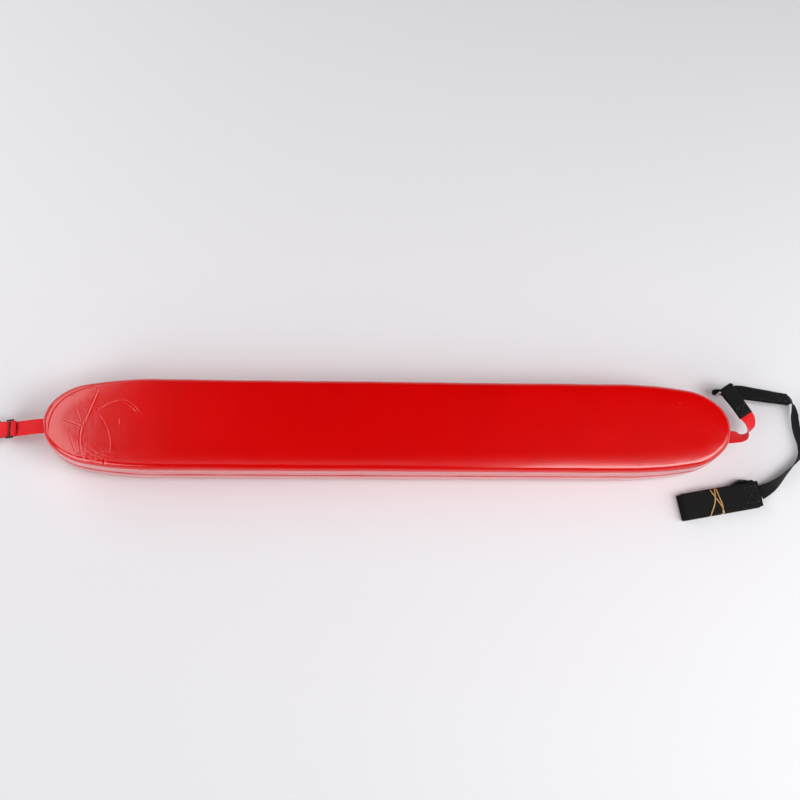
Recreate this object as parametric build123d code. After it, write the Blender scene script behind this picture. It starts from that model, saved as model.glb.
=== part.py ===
from build123d import *
import os
from math import atan2, cos, degrees, radians, sin, sqrt, tan

# Rescue tube, in millimetres. The origin is the centre of the tube's flat bottom, on the surface it
# lies on. +X runs along the tube to the tow line end, -X to the snap hook end, and +Z is up.

# ---- buoyant tube ----
TUBE_LENGTH = 1132
TUBE_WIDTH = 152
TUBE_HEIGHT = 85
TIP_R = 55                  # the rounded end is three tangent arcs a side: tip, shoulder and flank
TIP_ANGLE = 45
SHOULDER_R = 98
SHOULDER_ANGLE = 80
EDGE_R = 10                 # roundover of the top and bottom edges
SKIN = 1.0                  # coated fabric
SKIN_GAP = 0.2              # between skin and foam
SEAM_HEIGHT = 8             # lap seam along the mid height of the side wall
SEAM_THICKNESS = 0.5
MID = TUBE_HEIGHT / 2

# ---- webbing ----
WEB = 25                    # width of the red and the black webbing
PLY = 1.6
SLOT_CLEARANCE = 0.3
MOUTH_MARGIN = 7            # how much wider than the webbing the skin's mouth is, at each edge
THREAD = 0.5                # stitch diameter
STITCH = 3.0                # stitch pitch
STITCH_SHARE = 0.72         # of the pitch that shows as thread
DIAGONAL_INSET = 2.2        # of a box stitch's diagonal from its corners
SEWN_GAP = 0.15             # half the gap between two plies that are sewn together
WEB_END = TUBE_LENGTH / 2 - 1.2

# ---- hook end ----
BAR_X = -649                # crossbar of the hook's eye
HOOK_END_Y = 3.5            # the webbing leaves its mouth a little to one side
BAR_Z = 9
BAR_R = 2.2
WRAP_R = BAR_R + 0.35 + PLY / 2
LOOP_SLOPE = 27             # degrees, from the crossbar up to the tube
LOOP_BEND = 58              # where the lower ply starts its slope, from the crossbar
SLIDER_AT = 22              # centre bar, along the slope from the crossbar
SLIDER_PITCH = 6            # between bars
SLIDER_BAR_R = 1.2
SLIDER_RISE = 1.4
TAIL_TOP = 3.5
TAIL_DIP = -0.7
TAIL_END = 34
EYE_HALF = 15.5
EYE_DEPTH = 14
EYE_CORNER = 4
BOSS_R = 5
BOSS_LENGTH = 9
RIVET_R = 2.2
RIVET_PLAY = 0.05
RIVET_HEAD_R = 3.8
RIVET_HEAD = 2.2
BARREL_R = 6.5
BARREL_LENGTH = 44
BARREL_START = BAR_X - EYE_DEPTH - BOSS_LENGTH / 2 - 0.5
BARREL_END = BARREL_START - BARREL_LENGTH
BORE_R = 3.2
BOLT_R = 3.15
BOLT_INSIDE = 14
BOLT_TRAVEL = 12
HOOK_R = 15                 # centreline radius of the hook's curve
HOOK_WIRE_R = 3
HOOK_Y = -2
HOOK_X = BARREL_END - HOOK_R + 2.5
TIP_RISE = 5
KNOB_STEM_R = 1.6
KNOB_R = 3.2
KNOB_OUT = 11.5
SPRING_WIRE = 0.6
SPRING_TURNS = 8
SPRING_ROOM = 24            # between the bolt's back and the end of its bore
KNOB_X = BARREL_END + 8
BOLT_TIP = HOOK_X - HOOK_R + HOOK_WIRE_R + 0.1
BOLT_BACK = BARREL_END + BOLT_INSIDE
RIVET_DEPTH = 6             # how far the rivet is set into the barrel

# ---- tow end ----
RED_ROUTE = [               # x, y, z and roll: the webbing curls over and turns its other face up
    (565.2, -5.5, 42.5, 0), (588, -5, 42, -16), (600, -5, 41, -27), (607, -1, 41.5, -40),
    (611.5, 7.5, 44, -84), (612.5, 17, 47.5, -126), (609.5, 25, 49.5, -160), (606.6, 29.5, 49.5, -180),
]
RING_STRAP_START = (606.2, 28.3)
RING_STRAP_ANGLE = 123
RING_STRAP_Z = 49.5
RING_STRAP_LENGTH = 63
RING_WIRE_R = 2
RING_HALF = 15
RING_DEPTH = 26
RING_BAR_CORNER = 3
RING_BOW_CORNER = 11
RING_BAR_Z = 48.5
TOW_EYE_WIDTH = 8
TOW_EYE_BACK = 14.5         # how far the tow line's eye reaches behind the ring
TOW_EYE_FRONT = 14.5
TOW_EYE_LOW = 18.7
TOW_EYE_HIGH = 30.4
TOW_EYE_END_X = 602
TOW_EYE_END_Z = 23.3
TOW_DOUBLE_ROUTE = [        # two plies sewn together, from the ring to the sewn end
    (600.5, 77.6, 23.3, 0), (610, 78.2, 23.3, -12), (626, 75.6, 23, -18), (649, 72.8, 21.5, -20),
    (672, 69.6, 20.5, -26), (692, 67.2, 19.5, -26),
]
TOW_ROUTE = [               # the single ply: stands on its edge, and turns flat into the folded strap
    (692.4, 67.15, 19.48), (701, 66, 19), (704.5, 53, 16.2), (705, 33, 13.8),
    (706.5, 12, 13), (712, -8, 13), (712, -28, 13), (701, -44, 12.8),
    (684, -60, 12.6), (666, -78, 12.3), (649, -89.5, 11.5), (634, -96, 11),
]
TOW_ROLL = [-26, -78, -98, -99, -97, -94, -92, -86, -76, -66, -52, -36, -16]

# ---- folded shoulder strap ----
HANK_CENTRE = (562.5, -110.5)
HANK_ANGLE = 10
HANK_LENGTH = 137
HANK_WIDTH = 44
HANK_LOW = 1.4
HANK_HIGH = 21.5
HANK_FOLD_R = 5
FOLDS_LENGTH = 36
FOLDS_WIDTH = 7
FOLDS_HEIGHT = 15
FOLDS_MID = 11              # height of their middle
FOLDS_AT = 40
HANK_SEAM_AT = 52           # box stitch, along the strap
BAND = 1.0
BAND_WIDTH = 1.6
BAND_PLACES = [(-13, -9), (-7, 8), (-4, 17)]    # along the strap, and slant in degrees


def outline(inset):
    """The tube seen from above, drawn in by an equal amount all round."""
    tip = JernArc((TUBE_LENGTH / 2 - inset, 0), (0, 1), TIP_R - inset, TIP_ANGLE)
    shoulder = JernArc(tip @ 1, tip % 1, SHOULDER_R - inset, SHOULDER_ANGLE - TIP_ANGLE)
    rise = TUBE_WIDTH / 2 - inset - (shoulder @ 1).Y
    flank_r = rise / (1 - sin(radians(SHOULDER_ANGLE)))
    flank = JernArc(shoulder @ 1, shoulder % 1, flank_r, 90 - SHOULDER_ANGLE)
    quarter = [tip, shoulder, flank, Line(flank @ 1, (0, TUBE_WIDTH / 2 - inset))]
    half = quarter + [mirror(edge, about=Plane.XZ) for edge in quarter]
    whole = half + [mirror(edge, about=Plane.YZ) for edge in half]
    return make_face(Wire(ShapeList(e for part in whole for e in part.edges())))


def tube_block(inset):
    """A solid with the tube's rounded outline and rounded top and bottom edges."""
    block = extrude(Pos(0, 0, inset) * outline(inset), TUBE_HEIGHT - 2 * inset)
    rims = block.edges().group_by(Axis.Z)
    return fillet(rims[0] + rims[-1], EDGE_R - inset)


def slab(low, high):
    return Pos(0, 0, (low + high) / 2) * Box(TUBE_LENGTH + 20, TUBE_WIDTH + 20, high - low)


def webbing_channel(clearance):
    return Pos(0, 0, MID) * Box(TUBE_LENGTH + 20, WEB + 2 * (MOUTH_MARGIN + clearance), PLY + 2 * clearance)


def side(direction):
    """The level direction across a run of webbing."""
    return Vector(-direction.Y, direction.X, 0).normalized()


def section(point, direction, roll, width, thickness):
    across = side(direction).rotate(Axis((0, 0, 0), direction), roll)
    return Plane(origin=point, x_dir=across, z_dir=direction) * Rectangle(width, thickness)


def ribbon(path, rolls, width, thickness, count):
    """Webbing along a path, turning about its own line through the given rolls."""
    steps = []
    for i in range(count + 1):
        place = i / count * (len(rolls) - 1)
        low = min(int(place), len(rolls) - 2)
        roll = rolls[low] + (rolls[low + 1] - rolls[low]) * (place - low)
        steps.append(section(path @ (i / count), path % (i / count), roll, width, thickness))
    return loft(steps, ruled=True)


def bend_radii(points):
    """The largest arc that the two runs at each point leave room for."""
    radii = []
    for a, b, c in zip(points, points[1:], points[2:]):
        before = Vector(*b) - Vector(*a)
        after = Vector(*c) - Vector(*b)
        turn = radians(before.get_angle(after))
        radii.append(0.45 * min(before.length, after.length) / tan(turn / 2))
    return radii


def arc_path(points):
    return FilletPolyline(*points, radius=bend_radii(points))


def strip(points, radii, plane, width, thickness=PLY):
    """Webbing that bends in one upright plane: points are along and up in that plane."""
    path = plane * FilletPolyline(*[(a, b) for a, b in points], radius=radii)
    start = Plane(origin=path @ 0, x_dir=plane.z_dir, z_dir=path % 0)
    return sweep(start * Rectangle(width, thickness), path)


def ring_wire(half, depth, corners, plane, wire_r):
    """A closed loop of round bar: its straight bar lies on the plane's own line."""
    near, far = corners
    pts = [(half, 0), (half, -depth), (-half, -depth), (-half, 0)]
    path = plane * FilletPolyline(*pts, radius=[near, far, far, near], close=True)
    return sweep(Plane(origin=path @ 0, z_dir=path % 0) * Circle(wire_r), path)


def stitch_rows(plane, rows):
    """Groups of short stitches: each row is a start, an end and a height on the plane."""
    stitches = []
    for (ax, ay), (bx, by), height in rows:
        length = sqrt((bx - ax) ** 2 + (by - ay) ** 2)
        count = max(1, round(length / STITCH))
        turn = degrees(atan2(by - ay, bx - ax))
        for i in range(count):
            t = (i + 0.5) / count
            place = plane * Pos(ax + (bx - ax) * t, ay + (by - ay) * t, height)
            stitches.append(place * Rot(0, 0, turn) * Box(STITCH_SHARE * length / count, THREAD, THREAD))
    return Compound(children=stitches)


def box_stitch(half_along, half_across, height):
    corners = [(-half_along, -half_across), (half_along, -half_across),
               (half_along, half_across), (-half_along, half_across)]
    sides = [(corners[i], corners[(i + 1) % 4], height) for i in range(4)]
    along, across = half_along - DIAGONAL_INSET, half_across - DIAGONAL_INSET
    return sides + [((-along, -across), (along, across), height)]


# ---- the buoyant tube ----
def tube_parts():
    outer = tube_block(0)
    inner = tube_block(SKIN)
    core = tube_block(SKIN + SKIN_GAP)
    slot = webbing_channel(SLOT_CLEARANCE)
    skin = outer - inner - slot
    channel = Pos(0, 0, MID) * Box(TUBE_LENGTH + 20, WEB + 2 * SLOT_CLEARANCE, PLY)
    rim = outline(-SEAM_THICKNESS) - outline(0)
    seam = extrude(Pos(0, 0, MID - SEAM_HEIGHT / 2) * rim, SEAM_HEIGHT)
    return {
        "foam_core_lower": core & slab(0, MID) - channel,
        "foam_core_upper": core & slab(MID, TUBE_HEIGHT) - channel,
        "skin_lower": skin & slab(-1, MID),
        "skin_upper": skin & slab(MID, TUBE_HEIGHT + 1),
        "side_seam": seam - webbing_channel(2 * SLOT_CLEARANCE),
        "load_webbing": Pos(0, 0, MID) * Box(2 * WEB_END - 1, WEB, PLY - 0.02),
    }


# ---- red webbing loop, slider and snap hook ----
SLOPE_PLANE = Plane(
    origin=(BAR_X, 0, BAR_Z),
    x_dir=(cos(radians(LOOP_SLOPE)), 0, sin(radians(LOOP_SLOPE))),
    z_dir=(0, -1, 0),
)
EYE_PLANE = Plane(origin=(BAR_X, 0, BAR_Z), x_dir=(0, 1, 0), z_dir=(0, 0, -1))


def hook_webbing():
    """Out of the tube, under the crossbar, round it, and back over the slider to the tail."""
    exit_at = SLOPE_PLANE.to_local_coords(Vector(-WEB_END, 0, MID))
    bend_at = SLOPE_PLANE.to_local_coords(Vector(-WEB_END - 8, 0, MID))
    left, mid, right = (SLIDER_AT + k * SLIDER_PITCH for k in (-1, 0, 1))
    back = -WRAP_R - 0.01
    points = [
        (exit_at.X, exit_at.Y), (bend_at.X, bend_at.Y), (LOOP_BEND, -WRAP_R), (back, -WRAP_R),
        (back, WRAP_R), (8, WRAP_R), (left + 0.9, TAIL_TOP), (mid - 1.1, TAIL_DIP), (mid + 1.1, TAIL_DIP),
        (right - 0.9, TAIL_TOP), (right + 1.2, TAIL_TOP), (TAIL_END, TAIL_TOP - 1.6),
    ]
    radii = [9, 30, WRAP_R - 0.02, WRAP_R - 0.02, 6, 1.2, 1.0, 1.0, 1.0, 0.9]
    return strip(points, radii, SLOPE_PLANE, WEB)


def slider():
    """A tri-glide: three bars between two side rails, lying over the lower ply."""
    rail_y = WEB / 2 + 1.9
    reach = SLIDER_PITCH + SLIDER_BAR_R
    base = SLOPE_PLANE * Pos(SLIDER_AT, SLIDER_RISE, 0)
    bars = [base * Pos(k * SLIDER_PITCH, 0, 0) * Cylinder(SLIDER_BAR_R, 2 * rail_y) for k in (-1, 0, 1)]
    rail = fillet(Box(2 * reach, 2 * SLIDER_BAR_R, 2.6).edges(), 0.8)
    rails = [base * Pos(0, 0, k * rail_y) * rail for k in (-1, 1)]
    return bars[0] + bars[1:] + rails


def eye():
    frame = ring_wire(EYE_HALF, EYE_DEPTH, (EYE_CORNER, EYE_CORNER), EYE_PLANE, BAR_R)
    boss_x = BAR_X - EYE_DEPTH
    boss = Pos(boss_x, 0, BAR_Z) * Rot(0, 90, 0) * Cylinder(BOSS_R, BOSS_LENGTH)
    boss = chamfer(boss.edges(), 0.8)
    bore = Pos(boss_x, 0, BAR_Z) * Rot(0, 90, 0) * Cylinder(RIVET_R + RIVET_PLAY, BOSS_LENGTH + 12)
    return frame + boss - bore


def along_x(x_from, x_to, radius, y=0.0):
    length = abs(x_to - x_from)
    return Pos((x_from + x_to) / 2, y, BAR_Z) * Rot(0, 90, 0) * Cylinder(radius, length)


def swivel_rivet():
    head_x = BAR_X - EYE_DEPTH + BOSS_LENGTH / 2 + 0.3
    head = along_x(head_x, head_x + RIVET_HEAD, RIVET_HEAD_R)
    head = fillet(head.edges().group_by(Axis.X)[-1], 1.2)
    return head + along_x(head_x, BARREL_START - RIVET_DEPTH, RIVET_R)


def hook_body():
    barrel = along_x(BARREL_START, BARREL_END, BARREL_R)
    barrel = fillet(barrel.edges(), 1.5)
    arc = Pos(HOOK_X, HOOK_Y, BAR_Z) * CenterArc((0, 0), HOOK_R, -180, 180)
    tip = Line(arc @ 0 + Vector(0, TIP_RISE, 0), arc @ 0)
    path = Wire([tip.edge(), arc.edge()])
    curve = sweep(Plane(origin=path @ 0, z_dir=path % 0) * Circle(HOOK_WIRE_R), path)
    rounded_tip = Pos(path @ 0) * Sphere(HOOK_WIRE_R)
    bolt_bore = along_x(BARREL_END - 0.01, BOLT_BACK + SPRING_ROOM, BORE_R)
    rivet_hole = along_x(BARREL_START + 1, BARREL_START - RIVET_DEPTH, RIVET_R)
    bolt_seat = along_x(BARREL_END, HOOK_X - HOOK_R + HOOK_WIRE_R - 0.4, BORE_R)
    slot_from = KNOB_X - KNOB_STEM_R - 0.3
    slot_to = KNOB_X + BOLT_TRAVEL + KNOB_STEM_R + 0.3
    slot = Pos((slot_from + slot_to) / 2, BARREL_R, BAR_Z) * Box(slot_to - slot_from, 2 * BARREL_R, 4)
    return barrel + curve + rounded_tip - bolt_bore - rivet_hole - bolt_seat - slot


def gate_bolt():
    bolt = along_x(BOLT_TIP, BOLT_BACK, BOLT_R)
    bolt = chamfer(bolt.edges(), 0.5)
    hole = Pos(KNOB_X, 2.4, BAR_Z) * Rot(90, 0, 0) * Cylinder(KNOB_STEM_R, 5)
    return bolt - hole


def bolt_knob():
    stem = Pos(KNOB_X, KNOB_OUT / 2, BAR_Z) * Rot(90, 0, 0) * Cylinder(KNOB_STEM_R, KNOB_OUT)
    return stem + Pos(KNOB_X, KNOB_OUT, BAR_Z) * Sphere(KNOB_R)


def hook_spring():
    """Coil spring at the end of the bolt's bore, pressed together as when the gate is open."""
    start = BOLT_BACK + BOLT_TRAVEL + SPRING_WIRE + 0.1
    length = SPRING_ROOM - BOLT_TRAVEL - 2 * SPRING_WIRE - 0.2
    radius = BORE_R - SPRING_WIRE - 0.3
    line = Helix(length / SPRING_TURNS, length, radius)
    wire = sweep(Plane(origin=line @ 0, z_dir=line % 0) * Circle(SPRING_WIRE), line, is_frenet=True)
    return Pos(start, 0, BAR_Z) * Rot(0, 90, 0) * wire


# ---- red curl, ring strap and D-ring ----
ALONG = Vector(cos(radians(RING_STRAP_ANGLE)), sin(radians(RING_STRAP_ANGLE)), 0)
BAR_DIRECTION = Vector(ALONG.Y, -ALONG.X, 0)
STRAP_PLANE = Plane(origin=(*RING_STRAP_START, RING_STRAP_Z), x_dir=ALONG, z_dir=BAR_DIRECTION)
RING_WRAP_R = RING_WIRE_R + 0.35 + PLY / 2
RING_BAR_AT = RING_STRAP_LENGTH - RING_WRAP_R - PLY / 2
RING_DROP = RING_BAR_Z - RING_STRAP_Z


def ring_webbing_red():
    points = [p[:3] for p in RED_ROUTE]
    return ribbon(arc_path(points), [p[3] for p in RED_ROUTE], WEB, PLY, 28)


def ring_strap():
    """Black webbing folded round the ring's bar, its ends sewn over the red end."""
    flat = PLY + SEWN_GAP
    pts = [
        (3, -flat), (24, -flat), (RING_BAR_AT - 8, RING_DROP - RING_WRAP_R),
        (RING_BAR_AT + RING_WRAP_R + 0.01, RING_DROP - RING_WRAP_R),
        (RING_BAR_AT + RING_WRAP_R + 0.01, RING_DROP + RING_WRAP_R),
        (RING_BAR_AT - 8, RING_DROP + RING_WRAP_R), (24, flat), (3, flat),
    ]
    radii = [12, 12, RING_WRAP_R - 0.02, RING_WRAP_R - 0.02, 12, 12]
    return strip(pts, radii, STRAP_PLANE, WEB)


def ring_stitching():
    plane = Plane(origin=(*RING_STRAP_START, RING_STRAP_Z), x_dir=ALONG, z_dir=(0, 0, 1))
    top = 1.5 * PLY + SEWN_GAP + THREAD / 2
    return stitch_rows(plane * Pos(13, 0, 0), box_stitch(8, 9, top) + box_stitch(8, 9, -top))


RING_BAR_POINT = Vector(*RING_STRAP_START, RING_BAR_Z) + ALONG * RING_BAR_AT
RING_PLANE = Plane(origin=RING_BAR_POINT, x_dir=BAR_DIRECTION, z_dir=-ALONG)


def d_ring():
    corners = (RING_BAR_CORNER, RING_BOW_CORNER)
    return ring_wire(RING_HALF, RING_DEPTH, corners, RING_PLANE, RING_WIRE_R)


def tow_loop():
    """The tow line's end: an eye through the ring, then two plies sewn together."""
    y = RING_BAR_POINT.Y
    x = RING_BAR_POINT.X
    eye_plane = Plane(origin=(x, y, 0), x_dir=(1, 0, 0), z_dir=(0, -1, 0))
    bend = (TOW_EYE_HIGH - TOW_EYE_LOW) / 2
    end = TOW_EYE_END_X - x
    pts = [
        (end, TOW_EYE_END_Z - 0.9), (TOW_EYE_FRONT, TOW_EYE_LOW), (-TOW_EYE_BACK, TOW_EYE_LOW),
        (-TOW_EYE_BACK, TOW_EYE_HIGH), (TOW_EYE_FRONT, TOW_EYE_HIGH), (end, TOW_EYE_END_Z + 0.9),
    ]
    eye_part = strip(pts, [14, bend - 0.02, bend - 0.02, 14], eye_plane, TOW_EYE_WIDTH)
    points = [p[:3] for p in TOW_DOUBLE_ROUTE]
    double = ribbon(arc_path(points), [p[3] for p in TOW_DOUBLE_ROUTE], WEB, 2 * PLY + SEWN_GAP, 24)
    return eye_part + double


def tow_line():
    path = arc_path(TOW_ROUTE)
    print("tow line", round(path.length), "mm, radii", [round(r, 1) for r in bend_radii(TOW_ROUTE)])
    return ribbon(path, TOW_ROLL, WEB, PLY, 60)


def tow_stitching():
    """Stitching that closes the two plies, just before the line turns on its edge."""
    start, end = (Vector(*p[:3]) for p in TOW_DOUBLE_ROUTE[-2:])
    direction = (end - start).normalized()
    roll = sum(p[3] for p in TOW_DOUBLE_ROUTE[-2:]) / 2
    across = side(direction).rotate(Axis((0, 0, 0), direction), roll)
    plane = Plane(origin=(start + end) * 0.5, x_dir=direction, z_dir=direction.cross(across))
    return stitch_rows(plane, box_stitch(7, 8.5, PLY + SEWN_GAP + THREAD / 2))


# ---- folded shoulder strap ----
HANK_PLANE = Plane(
    origin=(*HANK_CENTRE, 0), x_dir=(cos(radians(HANK_ANGLE)), sin(radians(HANK_ANGLE)), 0), z_dir=(0, 0, 1)
)


def shoulder_strap():
    height = HANK_HIGH - HANK_LOW
    block = Pos(0, 0, (HANK_LOW + HANK_HIGH) / 2) * Box(HANK_LENGTH, HANK_WIDTH, height)
    ends = block.edges().filter_by(Axis.Y)
    return HANK_PLANE * fillet(ends, HANK_FOLD_R)


def tow_line_folds():
    """Spare tow line, folded along the strap's far side."""
    block = Box(FOLDS_LENGTH, FOLDS_WIDTH, FOLDS_HEIGHT)
    block = fillet(block.edges().filter_by(Axis.Z), 3)
    return HANK_PLANE * Pos(FOLDS_AT, (HANK_WIDTH + FOLDS_WIDTH) / 2 + 0.1, FOLDS_MID) * block


def rubber_band():
    """A rubber band wound three times round the folded strap."""
    turns = []
    for at, slant in BAND_PLACES:
        stretch = 1 / cos(radians(slant))
        wide = (HANK_WIDTH + 0.4) * stretch + BAND_WIDTH
        tall = HANK_HIGH - HANK_LOW + 0.3
        middle = (HANK_HIGH + HANK_LOW) / 2
        outer = Box(BAND_WIDTH, wide + 2 * BAND, tall + 2 * BAND)
        turn = outer - Box(2 * BAND_WIDTH, wide, tall)
        turns.append(HANK_PLANE * Pos(at, 0, middle) * Rot(0, 0, slant) * turn)
    return turns[0] + turns[1:]


def shoulder_stitching():
    plane = HANK_PLANE * Pos(HANK_SEAM_AT, 0, HANK_HIGH)
    return stitch_rows(plane, box_stitch(11, 14, THREAD / 2 + 0.02))


parts = tube_parts()
hook_end = {
    "hook_webbing": hook_webbing(),
    "hook_slider": slider(),
    "swivel_eye": eye(),
    "swivel_rivet": swivel_rivet(),
    "hook_body": hook_body(),
    "hook_spring": hook_spring(),
    "gate_bolt": gate_bolt(),
    "bolt_knob": bolt_knob(),
}
parts |= {name: Pos(0, HOOK_END_Y, 0) * solid for name, solid in hook_end.items()}
parts |= {
    "ring_webbing_red": ring_webbing_red(),
    "ring_strap": ring_strap(),
    "ring_stitching": ring_stitching(),
    "d_ring": d_ring(),
    "tow_loop": tow_loop(),
    "tow_stitching": tow_stitching(),
    "tow_line": tow_line(),
    "shoulder_strap": shoulder_strap(),
    "tow_line_folds": tow_line_folds(),
    "shoulder_stitching": shoulder_stitching(),
    "rubber_band": rubber_band(),
}

os.makedirs("parts", exist_ok=True)
for name, solid in parts.items():
    export_step(solid, f"parts/{name}.step")
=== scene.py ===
from math import cos, pi, radians, sin

import bmesh
import bpy
import numpy as np
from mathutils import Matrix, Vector
from mathutils.geometry import delaunay_2d_cdt


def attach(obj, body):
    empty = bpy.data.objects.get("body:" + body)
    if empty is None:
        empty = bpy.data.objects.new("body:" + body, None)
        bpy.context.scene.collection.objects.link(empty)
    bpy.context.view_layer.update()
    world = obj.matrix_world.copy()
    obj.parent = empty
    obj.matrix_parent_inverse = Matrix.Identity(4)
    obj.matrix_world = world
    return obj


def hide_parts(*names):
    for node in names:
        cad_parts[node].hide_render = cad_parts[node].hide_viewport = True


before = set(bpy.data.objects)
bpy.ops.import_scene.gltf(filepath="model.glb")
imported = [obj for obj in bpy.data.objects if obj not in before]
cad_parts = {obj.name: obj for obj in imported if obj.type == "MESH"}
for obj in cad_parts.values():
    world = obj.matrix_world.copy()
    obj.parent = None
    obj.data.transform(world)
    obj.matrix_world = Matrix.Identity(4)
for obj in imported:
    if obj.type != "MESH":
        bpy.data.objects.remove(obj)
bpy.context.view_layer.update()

# Rescue tube. Shapes are worked out in millimetres, in the frame that the CAD uses, and MM turns them
# into metres. The tow line's route, the camera and the lights are in metres.
MM = 0.001
UP = np.array([0.0, 0.0, 1.0])
WEB = 25.0
PLY = 1.6


# ---------------------------------------------------------------- camera
def add_camera():
    data = bpy.data.cameras.new("camera")
    data.lens = 55.44
    data.sensor_width = 36.0
    data.clip_end = 50.0
    camera = bpy.data.objects.new("camera", data)
    camera.location = (-0.16089, -0.47064, 2.03660)
    camera.rotation_euler = (radians(14.7250), radians(-4.7865), radians(-0.6521))
    bpy.context.collection.objects.link(camera)
    bpy.context.scene.camera = camera


add_camera()


# ---------------------------------------------------------------- lines and frames along them
def smooth_line(points, resolution=10):
    """Points along the smooth curve that has the given control points."""
    curve = bpy.data.curves.new("line", "CURVE")
    curve.dimensions = "3D"
    curve.resolution_u = resolution
    spline = curve.splines.new("NURBS")
    spline.points.add(len(points) - 1)
    for control, place in zip(spline.points, points):
        control.co = (*place, 1.0)
    spline.order_u = 3
    spline.use_endpoint_u = True
    obj = bpy.data.objects.new("line", curve)
    bpy.context.collection.objects.link(obj)
    mesh = bpy.data.meshes.new_from_object(obj)
    line = np.array([v.co for v in mesh.vertices], float)
    bpy.data.objects.remove(obj)
    bpy.data.curves.remove(curve)
    bpy.data.meshes.remove(mesh)
    return line


def unit(vectors):
    return vectors / np.linalg.norm(vectors, axis=-1, keepdims=True)


class Track:
    """A line with the direction across it, the direction out of its face and the distance along it."""

    def __init__(self, line, rolls=(0.0,), across=None):
        self.line = np.asarray(line, float)
        steps = np.linalg.norm(np.diff(self.line, axis=0), axis=1)
        self.along = np.concatenate([[0.0], np.cumsum(steps)])
        self.length = self.along[-1]
        self.ahead = unit(np.gradient(self.line, axis=0))
        if across is None:
            level = unit(np.cross(UP, self.ahead))
            place = self.along / self.length * (len(rolls) - 1)
            roll = np.radians(np.interp(place, np.arange(len(rolls)), rolls))[:, None]
            self.across = level * np.cos(roll) + np.cross(self.ahead, level) * np.sin(roll)
        else:
            self.across = np.tile(np.asarray(across, float), (len(self.line), 1))
        self.out = unit(np.cross(self.ahead, self.across))

    def at(self, distance, sideways, lift):
        """The point this far along, across and out of the face."""
        def mix(values):
            return np.array([np.interp(distance, self.along, values[:, k]) for k in range(3)])
        return mix(self.line) + mix(self.across) * sideways + mix(self.out) * lift

    def shifted(self, sideways, lift):
        other = Track.__new__(Track)
        other.__dict__.update(self.__dict__)
        other.line = self.line + self.across * sideways + self.out * lift
        return other


# ---------------------------------------------------------------- meshes
def make_object(name, verts, faces, material, flat=None, smooth=True):
    """A mesh object from points in metres. flat gives each point's place on the cloth, in metres."""
    mesh = bpy.data.meshes.new(name)
    mesh.from_pydata([tuple(v) for v in verts], [], [tuple(int(i) for i in f) for f in faces])
    if flat is not None:
        layer = mesh.uv_layers.new(name="cloth")
        index = np.zeros(len(mesh.loops), np.int32)
        mesh.loops.foreach_get("vertex_index", index)
        layer.data.foreach_set("uv", np.asarray(flat, float)[index].ravel())
    work = bmesh.new()
    work.from_mesh(mesh)
    bmesh.ops.recalc_face_normals(work, faces=work.faces)
    work.to_mesh(mesh)
    work.free()
    mesh.polygons.foreach_set("use_smooth", [smooth] * len(mesh.polygons))
    mesh.materials.append(material)
    obj = bpy.data.objects.new(name, mesh)
    bpy.context.collection.objects.link(obj)
    return obj


def tube_faces(rows, around, closed=False):
    """Quads over rows of points that run round a section, with end caps unless the rows close up."""
    faces = []
    for i in range(rows if closed else rows - 1):
        here, there = i * around, (i + 1) % rows * around
        for j in range(around):
            k = (j + 1) % around
            faces.append((here + j, here + k, there + k, there + j))
    if not closed:
        faces.append(tuple(range(around)))
        faces.append(tuple(range((rows - 1) * around, rows * around)))
    return faces


FACE_POINTS = 15


def webbing_section():
    """Webbing cut across: soft edges with a slightly raised selvedge."""
    u = np.sin(np.linspace(-1, 1, FACE_POINTS) * pi / 2)
    rise = np.sqrt(1 - np.abs(u) ** 8) + 0.10 * np.exp(-((np.abs(u) - 0.9) / 0.06) ** 2) * (np.abs(u) < 0.99)
    back = slice(FACE_POINTS - 2, 0, -1)
    return np.concatenate([u, u[back]]), np.concatenate([rise, -rise[back]])


def ribbon_points(track, width, thickness, cup=0.0):
    """Points and cloth places of a run of webbing, in millimetres; cup curls its edges."""
    u, v = webbing_section()
    half = np.broadcast_to(np.asarray(width, float) / 2, (len(track.line),))[:, None]
    cups = np.broadcast_to(np.asarray(cup, float), (len(track.line),))[:, None]
    sideways = half * u[None, :]
    lift = v[None, :] * thickness / 2 + cups * (u[None, :] ** 2 - 0.5)
    points = (track.line[:, None] + track.across[:, None] * sideways[..., None]
              + track.out[:, None] * lift[..., None])
    flat = np.stack([sideways, np.broadcast_to(track.along[:, None], sideways.shape)], axis=-1)
    return points.reshape(-1, 3), flat.reshape(-1, 2)


def ribbons(name, parts, material):
    """One object from runs of webbing: each is (track, width, thickness, cup), in millimetres."""
    around = 2 * FACE_POINTS - 2
    verts, flats, faces = [], [], []
    for track, width, thickness, cup in parts:
        base = sum(len(v) for v in verts)
        points, flat = ribbon_points(track, width, thickness, cup)
        verts.append(points)
        flats.append(flat)
        faces += [tuple(base + i for i in f) for f in tube_faces(len(track.line), around)]
    return make_object(name, np.vstack(verts) * MM, faces, material, np.vstack(flats) * MM)


def stitch_mesh(name, places, material, radius=0.32, arch=0.22):
    """Short raised stitches: places holds (start, end, out of the cloth) for each one, in millimetres."""
    rings, sides = 5, 6
    verts, faces = [], []
    for start, end, out in places:
        start, end, out = (np.asarray(v, float) for v in (start, end, out))
        ahead = unit(end - start)
        wide = np.cross(ahead, out)
        base = len(verts)
        for i in range(rings):
            t = i / (rings - 1)
            bulge = sin(pi * (0.12 + 0.76 * t)) ** 0.6
            middle = start + (end - start) * t + out * (arch * sin(pi * t) - 0.1)
            for j in range(sides):
                turn = 2 * pi * j / sides
                verts.append(middle + (wide * cos(turn) + out * sin(turn)) * radius * bulge)
        faces += [tuple(base + i for i in f) for f in tube_faces(rings, sides)]
    return make_object(name, np.array(verts) * MM, faces, material)


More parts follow.
